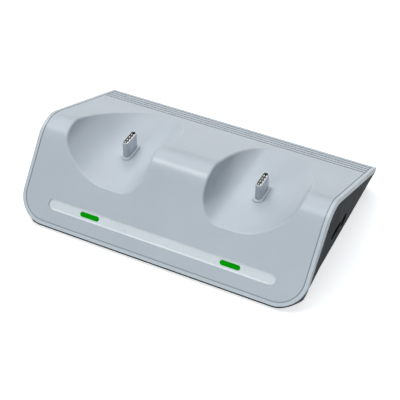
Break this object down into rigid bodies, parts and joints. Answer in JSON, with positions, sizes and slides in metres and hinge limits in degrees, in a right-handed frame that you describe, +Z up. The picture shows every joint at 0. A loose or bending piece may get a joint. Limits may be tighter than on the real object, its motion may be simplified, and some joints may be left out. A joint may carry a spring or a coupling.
{
  "type": "controller charging dock",
  "caption": "Wedge-shaped desk dock with scooped bowls and upright charging plugs that hold and charge game controllers, a light strip along the sloping front and a dark base.",
  "frame": {"origin": "centre of the footprint's box, on the plane that the feet stand on", "axes": "+X along the width to the right-hand side with the inlets, +Y to the low rear edge, -Y to the sloping front with the light strip, +Z up"},
  "size_m": [0.113, 0.074, 0.0295],
  "materials": {
    "cover_abs": "fine moulded matt",
    "base_abs": "fine moulded matt",
    "strip_pc": "satin",
    "lens_green": "lit green lens",
    "collar_abs": "moulded matt",
    "plug_steel": "drawn and plated",
    "contact_plating": "bright plated",
    "connector_nylon": "moulded",
    "board_epoxy": "solder mask",
    "chip_resin": "moulded",
    "coil_ferrite": "pressed ferrite",
    "capacitor_can": "drawn can",
    "lamp_resin": "clear resin",
    "ribbon_film": "film",
    "screw_steel": "black zinc",
    "foot_rubber": "moulded rubber"
  },
  "bodies": {
    "root": {"top_cover": "cover_abs", "base_shell": "base_abs", "light_bar": "strip_pc", "led_window_left": "lens_green", "led_window_right": "lens_green", "led_board": "board_epoxy", "led_ribbon": "ribbon_film", "main_board": "board_epoxy", "led_left": "lamp_resin", "led_right": "lamp_resin", "input_port_shell": "plug_steel", "input_port_tongue": "connector_nylon", "power_jack": "connector_nylon", "power_jack_pin": "contact_plating", "charge_chips": "chip_resin", "inductors": "coil_ferrite", "capacitors": "capacitor_can", "case_screws": "screw_steel", "main_board_screws": "screw_steel", "plug_board_screws": "screw_steel", "led_board_screws": "screw_steel", "plug_collar_left": "collar_abs", "plug_shell_left": "plug_steel", "plug_core_left": "connector_nylon", "plug_contacts_left": "contact_plating", "plug_board_left": "board_epoxy", "board_link_left": "connector_nylon", "foot_front_left": "foot_rubber", "foot_rear_left": "foot_rubber", "plug_collar_right": "collar_abs", "plug_shell_right": "plug_steel", "plug_core_right": "connector_nylon", "plug_contacts_right": "contact_plating", "plug_board_right": "board_epoxy", "board_link_right": "connector_nylon", "foot_front_right": "foot_rubber", "foot_rear_right": "foot_rubber"}
  },
  "joints": []
}
